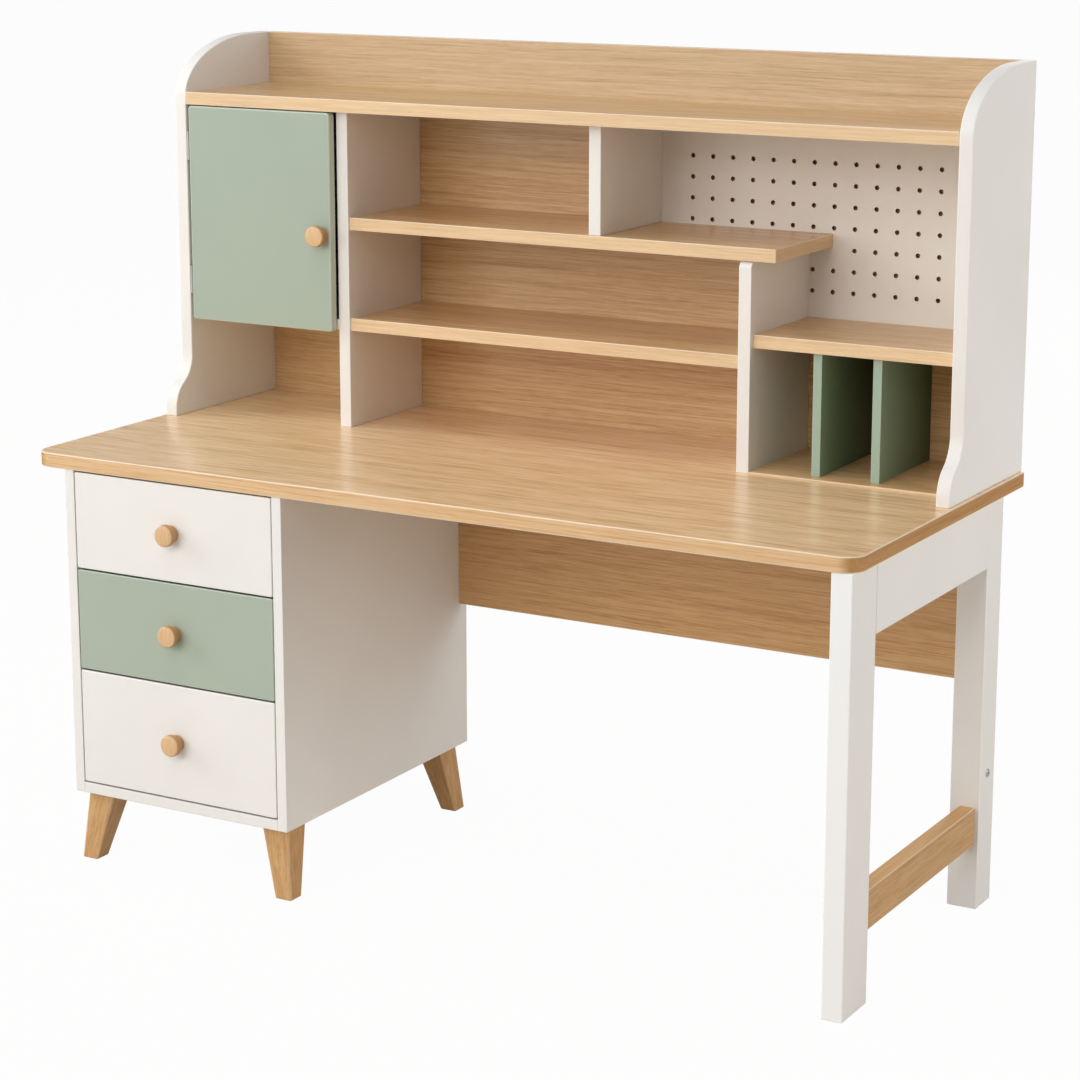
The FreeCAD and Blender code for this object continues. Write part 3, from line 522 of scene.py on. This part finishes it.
def foot(node):
    """A leaning, tapering square foot.

    At height h a ring of points follows a square with rounded corners, whose side, corner radius and centre
    all change evenly with h. At the floor the ring is drawn in by the rim's quarter circle. The grain's
    coordinates are the point's own, less the lean, so that the grain follows the foot's length.
    """
    low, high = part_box(node)
    side_x, side_y = (1 if node.endswith("right") else -1), (1 if "rear" in node else -1)
    corner_x = (high.x if side_x > 0 else low.x) - side_x * FOOT_BOTTOM / 2
    corner_y = (high.y if side_y > 0 else low.y) - side_y * FOOT_BOTTOM / 2
    foot_at = np.array([corner_x, corner_y])
    lean = np.array([side_x, side_y]) * -FOOT_LEAN
    turn = np.linspace(0, math.pi / 2, ARRIS_STEPS + 1)
    shaft = np.linspace(FOOT_FIRST_RING, FOOT_HEIGHT, FOOT_RINGS)
    heights = np.concatenate([FOOT_RIM * (1 - np.cos(turn)), shaft])
    drawn_in = np.concatenate([FOOT_RIM * (1 - np.sin(turn)), np.zeros(FOOT_RINGS)])
    down = np.concatenate([np.cos(turn), np.zeros(FOOT_RINGS)])
    share = (heights / FOOT_HEIGHT)[:, None]
    corner_share = np.linspace(0, 1, CORNER_STEPS + 1)
    angle = np.radians(np.array([180.0, 270.0, 360.0, 450.0])[:, None] + 90 * corner_share).ravel()
    outward = np.stack([np.cos(angle), np.sin(angle)], -1)
    corner = np.repeat([[-1.0, -1.0], [1.0, -1.0], [1.0, 1.0], [-1.0, 1.0]], CORNER_STEPS + 1, axis=0)
    half = (FOOT_BOTTOM + (FOOT_TOP - FOOT_BOTTOM) * share[..., None]) / 2
    radius = FOOT_CORNER_BOTTOM + (FOOT_CORNER_TOP - FOOT_CORNER_BOTTOM) * share[..., None]
    centre = foot_at + lean * share[..., None]
    flat = centre + corner * (half - radius) + outward * (radius - drawn_in[:, None, None])
    slope = ((outward * lean).sum(-1) + (FOOT_TOP - FOOT_BOTTOM) / 2) / FOOT_HEIGHT
    normal = np.concatenate([np.broadcast_to(outward, flat.shape),
                             np.broadcast_to(-slope[None, :, None], flat.shape[:2] + (1,))], -1)
    normal = normal * (1 - down)[:, None, None] + np.array([0, 0, -1.0]) * down[:, None, None]
    normal /= np.linalg.norm(normal, axis=-1, keepdims=True)
    normal[-1] = normal[-2]
    position = np.concatenate([flat, np.broadcast_to(heights[:, None, None], flat.shape[:2] + (1,))], -1)
    grain_place = position - np.concatenate([lean, [0.0]]) * share[..., None]
    corner_arris = np.tile(np.sin(np.pi * corner_share), 4)[None, :] * (1 - down)[:, None]
    faces = ring_faces(len(heights), len(angle))
    marks = {"arris": corner_arris.ravel(), "grain_place": grain_place.reshape(-1, 3)}
    piece = make_piece(node + "_turned_out", position.reshape(-1, 3), faces, normal.reshape(-1, 3), marks)
    return finish_piece(piece, "desk", [node], beech)


for node in ("foot_front_left", "foot_front_right", "foot_rear_left", "foot_rear_right"):
    foot(node)


# ---- Drawers ----
# Three drawers with lacquered slab fronts, white above and below and sage green between. Each front is
# screwed to a birch box on steel slides, and pulled by a turned knob that a screw holds from inside. The
# fronts' edges are painted darker deep in the gaps, as painted shade.
SAGE, SAGE_ARRIS_HIGHLIGHT = rgb(171, 184, 168), rgb(205, 215, 203)
DRAWER_CORNER, DRAWER_ARRIS = 0.0032, 0.0020
# Painted shade: the fronts' edges go to a darker paint between these shares of their depth into the gap.
PAINTED_GAP_SHADE = ("edge_depth", 0.10, 0.30)
BIRCH = rgb(214, 194, 162), rgb(230, 214, 186), rgb(240, 228, 206)
BIRCH_STREAK, BIRCH_FIGURE = (0.30, 0.012), 0.7
GRAIN_TO_BACK = (0, 0, 90)
white_front = lacquer("white_lacquer_front", WHITE, WHITE_ARRIS_HIGHLIGHT, rgb(160, 153, 142), PAINTED_GAP_SHADE)
sage_front = lacquer("sage_lacquer_front", SAGE, SAGE_ARRIS_HIGHLIGHT, rgb(112, 126, 108), PAINTED_GAP_SHADE)
birch = varnished_wood("birch_box_board", BIRCH, BIRCH_STREAK, BIRCH_FIGURE, sanded_edges=False)
birch_lengthways = varnished_wood("birch_box_board_lengthways", BIRCH, BIRCH_STREAK, BIRCH_FIGURE,
                                  grain_turn=GRAIN_TO_BACK, sanded_edges=False)
# The band darkens the knobs' barrels against their faces: partly the darker side grain, partly painted
# shade.
knob_beech = varnished_wood("turned_beech", (rgb(198, 155, 107), rgb(221, 182, 136), rgb(235, 202, 158)),
                            streak_size=(0.04, 0.0022), figure=0.6, grain_turn=UPRIGHT_GRAIN,
                            band=(rgb(164, 112, 66), 0.6))


def speckled(name, noise, spread, shades, roughness, metallic=0.0, grit=None):
    """A finish that only a fine noise varies, with a scale and a detail.

    As the noise goes over its spread, the colour goes from one shade to the other, and as it goes from 0 to
    1, so does the roughness between its two values. Grit is the strength and the depth of the noise's bumps.
    """
    material, tree, output = empty_material(name)
    place = add(tree, "TexCoord").outputs["Object"]
    scale, detail = noise
    speck = add(tree, "TexNoise", {"Vector": place, "Scale": scale, "Detail": detail}).outputs["Fac"]
    smooth, dull = roughness
    dullness = add(tree, "MapRange", {"Value": speck, "To Min": smooth, "To Max": dull}).outputs["Result"]
    colour = colour_between(tree, speck, *spread, *shades)
    shader = add(tree, "BsdfPrincipled", {"Base Color": colour, "Roughness": dullness, "Metallic": metallic})
    if grit:
        strength, depth = grit
        bumps = add(tree, "Bump", {"Height": speck, "Strength": strength, "Distance": depth})
        tree.links.new(bumps.outputs[0], shader.inputs["Normal"])
    tree.links.new(shader.outputs[0], output.inputs["Surface"])
    return material


steel = speckled("bright_zinc_plate", noise=(38.0, 1.0), spread=(0.3, 0.7),
                 shades=(rgb(196, 198, 200), rgb(210, 211, 212)), roughness=(0.34, 0.40), metallic=1.0)

KNOB_LENGTH, KNOB_NECK, KNOB_BASE = 0.024, 0.0130, 0.0142
KNOB_CAP, KNOB_CAP_BACK, KNOB_FACE = 0.0187, 0.0108, 0.0180
KNOB_CROWN, KNOB_BULGE, KNOB_BACK_ROUND, KNOB_FACE_ROUND = 0.0012, 0.0004, 0.0030, 0.0014
KNOB_BACK_ANGLE, KNOB_FACE_ANGLE = -85, 80
KNOB_STEPS, KNOB_FACE_STEPS, KNOB_AROUND = 9, 12, 56
SCREW_SHANK, SCREW_IN_KNOB = 0.0020, 0.014
SCREW_TIP, SCREW_TIP_BLUNT, SCREW_TIP_SHARE = 0.0020, 0.0004, 0.8
SCREW_HEAD, SCREW_HEAD_HEIGHT = 0.0042, 0.0024
SCREW_HEAD_WALL, SCREW_HEAD_TOP_SHARE = 0.0012, 0.86
DIMPLE_RADIUS, DIMPLE_CHAMFER = 0.0014, 0.0002
DIMPLE_STEPS, SCREW_AROUND = 5, 24


def turned(name, radius, out, x, front, z, around):
    """A turned piece: radius against distance out from the front, carried round an axis along Y.

    At angle a round the axis a point stands the radius times the sine of a to the right and times the cosine
    of a up. The profile's two ends lie on the axis, and each is one point that closes the piece. The edge
    band is the square of the cosine between the profile and the axis: 1 along a barrel and 0 across a face.
    """
    rings = len(radius) - 2
    angle = np.linspace(0, 2 * math.pi, around, endpoint=False)
    right = x + radius[1:-1, None] * np.sin(angle)
    up = z + radius[1:-1, None] * np.cos(angle)
    back = np.broadcast_to(front - out[1:-1, None], right.shape)
    wall = np.stack([right, back, up], -1).reshape(-1, 3)
    ends = np.array([[x, front - out[0], z], [x, front - out[-1], z]])
    start, stop, last_ring = rings * around, rings * around + 1, (rings - 1) * around
    ring = np.arange(around)
    onward = (ring + 1) % around
    faces = ring_faces(rings, around)[:-2]
    faces += np.stack([np.full(around, start), onward, ring], -1).tolist()
    faces += np.stack([np.full(around, stop), ring + last_ring, onward + last_ring], -1).tolist()
    rise, run = np.gradient(radius), np.gradient(out)
    band = np.repeat((run ** 2 / (rise ** 2 + run ** 2))[1:-1], around)
    return make_piece(name, np.concatenate([wall, ends]), faces, None,
                      {"edge_band": np.concatenate([band, np.zeros(2)])})


def rounding(centre_radius, centre_out, size, first, last, steps=KNOB_STEPS):
    """Part of a circle in a turned profile: 0 degrees is away from the axis, and 90 towards the sitter."""
    angle = np.radians(np.linspace(first, last, steps))
    return centre_radius + size * np.cos(angle), centre_out + size * np.sin(angle)


def knob(node, body):
    """A turned knob and the screw that holds it.

    The knob's profile is a base, a neck that narrows in a hollow curve, a rounding, a cap whose side bulges
    by a sine's half wave, a small rounding, and a face crowned as part of a sphere. The screw is a shank and
    a pan head with a dimple, against the back of the front.
    """
    low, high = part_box(node)
    x, z, front = (low.x + high.x) / 2, (low.z + high.z) / 2, low.y + KNOB_LENGTH
    share = np.linspace(0, 1, KNOB_STEPS)
    hollow = KNOB_BASE - (KNOB_BASE - KNOB_NECK) * np.sin(share * math.pi / 2), share * KNOB_CAP_BACK
    back = rounding(KNOB_CAP - KNOB_BACK_ROUND - KNOB_BULGE, KNOB_CAP_BACK + KNOB_BACK_ROUND,
                    KNOB_BACK_ROUND, KNOB_BACK_ANGLE, 0)
    side_radius, side_start = back[0][-1], back[1][-1]
    face_start = KNOB_LENGTH - KNOB_CROWN - KNOB_FACE_ROUND
    side = (side_radius + (KNOB_FACE - side_radius) * share + KNOB_BULGE * np.sin(share * math.pi),
            side_start + (face_start - side_start) * share)
    rim = rounding(side[0][-1] - KNOB_FACE_ROUND, face_start, KNOB_FACE_ROUND, 0, KNOB_FACE_ANGLE)
    sphere = (rim[0][-1] ** 2 + KNOB_CROWN ** 2) / (2 * KNOB_CROWN)
    turn = np.linspace(np.arcsin(rim[0][-1] / sphere), 0, KNOB_FACE_STEPS)
    crown = sphere * np.sin(turn), KNOB_LENGTH - sphere + sphere * np.cos(turn)
    parts = ((np.zeros(1), np.zeros(1)), hollow, back, side, rim, crown)
    radius = np.concatenate([part[0] for part in parts])
    out = np.concatenate([part[1] for part in parts])
    radius[-1] = 0.0
    wood = turned(node + "_turned", radius[::-1], out[::-1], x, front, z, KNOB_AROUND)
    finish_piece(wood, body, [node], knob_beech)
    head_top = front - high.y
    head_foot = head_top + SCREW_HEAD_HEIGHT
    dimple = rounding(0.0, head_top + DIMPLE_CHAMFER, DIMPLE_RADIUS, 90, 0, DIMPLE_STEPS)
    radius = np.array([0.0, SCREW_TIP_SHARE * SCREW_SHANK, SCREW_SHANK, SCREW_SHANK, SCREW_HEAD, SCREW_HEAD,
                       SCREW_HEAD_TOP_SHARE * SCREW_HEAD, DIMPLE_RADIUS + DIMPLE_CHAMFER, *dimple[0][::-1]])
    out = np.array([SCREW_IN_KNOB, SCREW_IN_KNOB - SCREW_TIP_BLUNT, SCREW_IN_KNOB - SCREW_TIP, head_foot,
                    head_foot, head_foot - SCREW_HEAD_WALL, head_top, head_top, *dimple[1][::-1]])
    radius[-1] = 0.0
    screw = turned(node + "_screw", radius, out, x, front, z, SCREW_AROUND)
    finish_piece(screw, body, [node], steel)


for drawer, paint, slot in (("upper_drawer", white_front, "white_lacquer"),
                            ("middle_drawer", sage_front, "sage_lacquer"),
                            ("lower_drawer", white_front, "white_lacquer")):
    board(drawer + "_front", paint, ALONG_Y, drawer, DRAWER_CORNER, DRAWER_ARRIS)
    knob(drawer + "_knob", drawer)
    for side in ("_side_left", "_side_right"):
        dress(drawer + side, birch_lengthways)
    for part in ("_back", "_floor"):
        dress(drawer + part, birch)
    dress(drawer + "_slides", steel)
dress("slide_channels", steel)


# ---- Leg frame and modesty panel ----
# White lacquered legs and apron carry the desktop's right-hand end, with an oak stretcher near the floor
# between the legs. An oak board closes the back of the knee space. All are bolted together. The front leg's
# edges are painted whiter, as painted light, and the apron's arrises are painted darker, as painted shade
# where it meets the legs.
LEG_CORNER, LEG_ARRIS, APRON_CORNER = 0.0020, 0.0018, 0.0026
STRETCHER_CORNER, STRETCHER_ARRIS = 0.0022, 0.0020
# Painted light: the front leg's edges take a whiter paint.
leg_lit_lacquer = lacquer("white_lacquer_front_leg_painted_light", WHITE, WHITE_ARRIS_HIGHLIGHT, rgb(249, 250, 251))
board("leg_front", leg_lit_lacquer, ALONG_X, corner=LEG_CORNER, arris=LEG_ARRIS)
board("leg_rear", white_lacquer, ALONG_X, corner=LEG_CORNER, arris=LEG_ARRIS)
# Painted shade: the apron's arrises go darker, where its joints with the legs lie in shade.
apron_shaded_lacquer = lacquer("white_lacquer_apron_painted_shade", WHITE, rgb(200, 194, 186))
board("leg_apron", apron_shaded_lacquer, ALONG_X, corner=APRON_CORNER, arris=LEG_ARRIS)
oak_lengthways = varnished_wood(
    "oak_veneer_grain_front_to_back", (rgb(172, 125, 74), rgb(200, 155, 103), rgb(218, 179, 128)),
    streak_size=(0.11, 0.0032), figure=0.8, grain_turn=GRAIN_TO_BACK, arris_highlight_share=0.4,
    band=(rgb(240, 190, 126), 0.5))
board("leg_stretcher", oak_lengthways, ALONG_X, corner=STRETCHER_CORNER, arris=STRETCHER_ARRIS)
modesty_oak = varnished_wood(
    "oak_veneer_modesty_panel", (rgb(178, 130, 79), rgb(208, 164, 112), rgb(225, 188, 138)),
    streak_size=(0.15, 0.0028), figure=0.95, arris_highlight_share=0.6, coat=0.2)
board("modesty_panel", modesty_oak, ALONG_Y)
dress("frame_bolts", steel)


# ---- Hutch end panels ----
# Two white lacquered ends, 22 mm thick, cut to an outline: an oval crown at the top front and a toe that
# sweeps forward at the desktop. Dowels and screws from below hold them.
CROWN_DEPTH, CROWN_HEIGHT = 0.200, 0.101
TOE_REACH, TOE_START, TOE_HEIGHT = 0.050, 0.105, 0.012
END_CORNER, END_ARRIS, END_STEPS = 0.0020, 0.0018, 24


def end_panel(node):
    """An end panel. The outline is a crown of a quarter ellipse, two equal arcs that sweep out to the toe,
    and small rounded corners, joined by straight lines."""
    low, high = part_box(node)
    toe, back, base, top = low.y, high.y, low.z, high.z
    front, sweep = toe + TOE_REACH, TOE_START - TOE_HEIGHT
    turn = 2 * math.atan2(TOE_REACH, sweep)
    bend, tiny = sweep / (2 * math.sin(turn)), END_CORNER
    degrees = math.degrees(turn)
    outline = arcs_outline([
        (back - tiny, base + tiny, tiny, tiny, 270.0, 360.0, 1),
        (back - tiny, top - tiny, tiny, tiny, 0.0, 90.0, 1),
        (front + CROWN_DEPTH, top - CROWN_HEIGHT, CROWN_DEPTH, CROWN_HEIGHT, 90.0, 180.0, 1),
        (front - bend, base + TOE_START, bend, bend, 0.0, -degrees, -1),
        (toe + bend, base + TOE_HEIGHT, bend, bend, 180.0 - degrees, 180.0, 1),
        (toe + tiny, base + tiny, tiny, tiny, 180.0, 270.0, 1)], END_STEPS)
    piece = plate(node + "_panel", outline, low.x, high.x, END_ARRIS, ALONG_X)
    return finish_piece(piece, "desk", [node], white_lacquer)


end_panel("hutch_side_left")
end_panel("hutch_side_right")


# ---- Hutch back, shelves and dividers ----
# Oak-veneered shelves and one back board between the ends, and white lacquered uprights. Everything is
# butted to the back board and held by dowels. The back board is painted paler towards the top, as painted
# light where more light reaches it.
OAK = rgb(180, 136, 86), rgb(211, 171, 122), rgb(228, 196, 150)
# Painted light: the top of the back board goes this share of the way to a paler oak.
TOP_LIGHT_DROP, TOP_LIGHT_SHARE, PAINTED_LIGHT_OAK = 0.12, 0.3, rgb(176, 168, 148)
SHELF_CORNER, SHELF_ARRIS = 0.0018, 0.0015
NOSE_CORNER = 0.012
low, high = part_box("hutch_top_shelf")
back_oak = varnished_wood("oak_veneer_grain_across", OAK, streak_size=(0.15, 0.0028), figure=0.95, arris_highlight_share=0.6,
                          coat=0.2, fade=(ALONG_Z, low.z - TOP_LIGHT_DROP, high.z, PAINTED_LIGHT_OAK, TOP_LIGHT_SHARE))
board("hutch_back_panel", back_oak, ALONG_Y)
# The shelves' edge band is painted paler, as painted light on their front edges.
shelf_oak = varnished_wood("oak_veneer_shelf", OAK, streak_size=(0.11, 0.0042), figure=1.0, arris_highlight_share=0.7,
                           coat=0.25, band=(rgb(252, 226, 190), 0.42), band_on_ends=True, edge_draw=1.8)
for node in ("hutch_top_shelf", "middle_shelf", "lower_shelf", "rack_shelf"):
    board(node, shelf_oak, ALONG_Z, corner=SHELF_CORNER, arris=SHELF_ARRIS)
board("cabinet_floor", white_lacquer, ALONG_Z)
for node in ("cabinet_divider", "upper_divider"):
    board(node, white_lacquer, ALONG_X)

low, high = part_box("main_divider")
divider_outline = four_corners(low.y, high.y, low.z, high.z,
                               (EASED_CORNER, EASED_CORNER, EASED_CORNER, NOSE_CORNER))
main_divider = plate("main_divider_board", divider_outline, low.x, high.x, EASED_ARRIS, ALONG_X)
finish_piece(main_divider, "desk", ["main_divider"], white_lacquer)


# ---- File rack ----
# Two sage green dividers under the small shelf at the right, on a thin oak-veneered base. Their faces are
# painted darker than their front edges, and darker still toward the back of the rack, as painted shade.
RACK_BASE_ROUND = 0.0008
board("rack_base", shelf_oak, ALONG_Z, corner=RACK_BASE_ROUND, arris=RACK_BASE_ROUND)
low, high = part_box("file_divider_left")
# Painted shade: the faces are darker than the front edges, and darken further towards the back.
divider_shaded_lacquer = lacquer("sage_lacquer_painted_shade", rgb(142, 170, 144), SAGE_ARRIS_HIGHLIGHT, rgb(160, 182, 165),
                          fade=(ALONG_Y, low.y, high.y, rgb(46, 76, 50)))
board("file_divider_left", divider_shaded_lacquer, ALONG_X)
board("file_divider_right", divider_shaded_lacquer, ALONG_X)


# ---- Pegboard ----
# White painted hardboard with a grid of holes, held off the oak back board by narrow strips so that hooks
# can pass behind it. The paint stops at the holes, whose walls show the brown board.
HARDBOARD_PAINT, HARDBOARD_BROWN = rgb(236, 231, 223), rgb(150, 106, 68)
BROWN_UNTIL, PAINTED_FROM = 0.4, 0.6
hardboard, tree, output = empty_material("painted_hardboard")
place = add(tree, "TexCoord").outputs["Object"]
skin = add(tree, "Group", {"Place": place, "Paint": HARDBOARD_PAINT}, node_tree=lacquer_skin)
grit = add(tree, "Bump", {"Height": skin.outputs["Height"], "Strength": 0.08, "Distance": 0.0004})
facing = add(tree, "SeparateXYZ", {"Vector": add(tree, "TexCoord").outputs["Normal"]}).outputs["Y"]
facing = math_node(tree, "ABSOLUTE", facing)
painted = skin.outputs["Color"]
hole_or_face = colour_between(tree, facing, BROWN_UNTIL, PAINTED_FROM, HARDBOARD_BROWN, painted)
shader = add(tree, "BsdfPrincipled", {"Base Color": hole_or_face, "Roughness": skin.outputs["Roughness"],
                                      "Normal": grit.outputs[0]})
tree.links.new(shader.outputs[0], output.inputs["Surface"])
dress("pegboard", hardboard)

raw_fibre = speckled("raw_brown_fibreboard", noise=(700.0, 3.0), spread=(0.25, 0.75),
                     shades=(rgb(96, 66, 42), rgb(134, 98, 66)), roughness=(0.75, 0.9), grit=(0.2, 0.0003))
dress("pegboard_battens", raw_fibre)


# ---- Cabinet door ----
# A sage green slab with softened corners, hung on two small butt hinges at the left and held shut by a
# magnet catch under the top shelf.
DOOR_CORNER, DOOR_ARRIS = 0.006, 0.003
# The door's edges are painted lighter, as painted light on its shaded sides, and its arrises carry a painted
# highlight.
door_lacquer = lacquer("sage_lacquer_door", rgb(166, 180, 165), rgb(212, 223, 210), rgb(188, 201, 185))
board("door_panel", door_lacquer, ALONG_Y, "door", DOOR_CORNER, DOOR_ARRIS)
knob("door_knob", "door")
for node in ("hinge_leaves_cabinet", "hinge_leaves_door", "door_strike_plate"):
    dress(node, steel)

plastic = speckled("white_moulded_plastic", noise=(900.0, 1.0), spread=(0.2, 0.8),
                   shades=(rgb(232, 232, 229), rgb(242, 242, 240)), roughness=(0.36, 0.46))
dress("door_catch", plastic)
